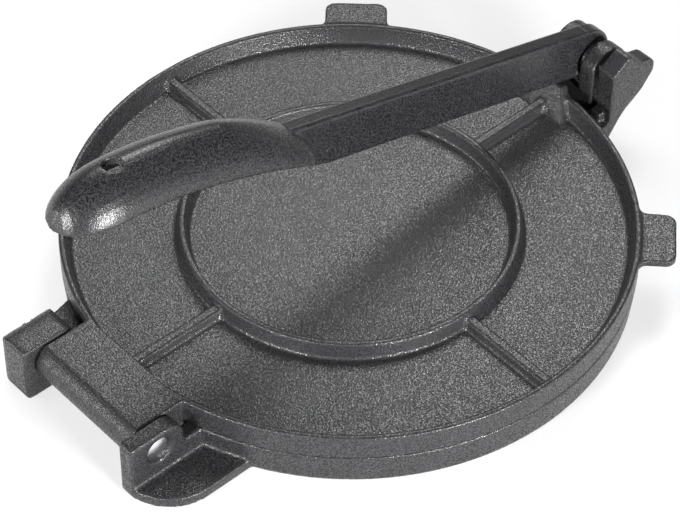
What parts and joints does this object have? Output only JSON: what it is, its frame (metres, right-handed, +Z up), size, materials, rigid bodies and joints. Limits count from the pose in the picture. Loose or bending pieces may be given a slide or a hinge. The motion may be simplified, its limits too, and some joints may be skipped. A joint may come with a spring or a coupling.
{
  "type": "tortilla press",
  "caption": "Cast-iron tortilla press: round plates on a hinge, pressed by a long lever with an arched grip that bears on a pad at the far side of the upper plate.",
  "frame": {"origin": "on the table, under the middle of the round plates, at the boss under the base", "axes": "+Z up from the table, +Y from the plates' hinge to the lever's pivot, X along both pins"},
  "size_m": [0.21, 0.2652, 0.1169],
  "materials": {
    "cast_iron": "sand-cast, seasoned, semi-gloss",
    "pin_steel": "turned and peened"
  },
  "bodies": {
    "base": {"base_plate": "cast_iron", "hinge_pin": "pin_steel", "pivot_pin": "pin_steel"},
    "upper_plate": {"upper_plate": "cast_iron"},
    "lever": {"lever": "cast_iron"}
  },
  "joints": [
    {"name": "lever_swing", "type": "hinge", "parent": "base", "child": "lever", "pos_m": [0, 0.1215, 0.0287], "axis": [-1, 0, 0], "range_deg": [0, 165]},
    {"name": "plate_hinge", "type": "hinge", "parent": "base", "child": "upper_plate", "pos_m": [0, -0.1172, 0.0158], "axis": [1, 0, 0], "range_deg": [0, 9.1]}
  ],
  "couplings": [
    {"joint": "plate_hinge", "follows": "lever_swing", "ratio": 0.055}
  ]
}
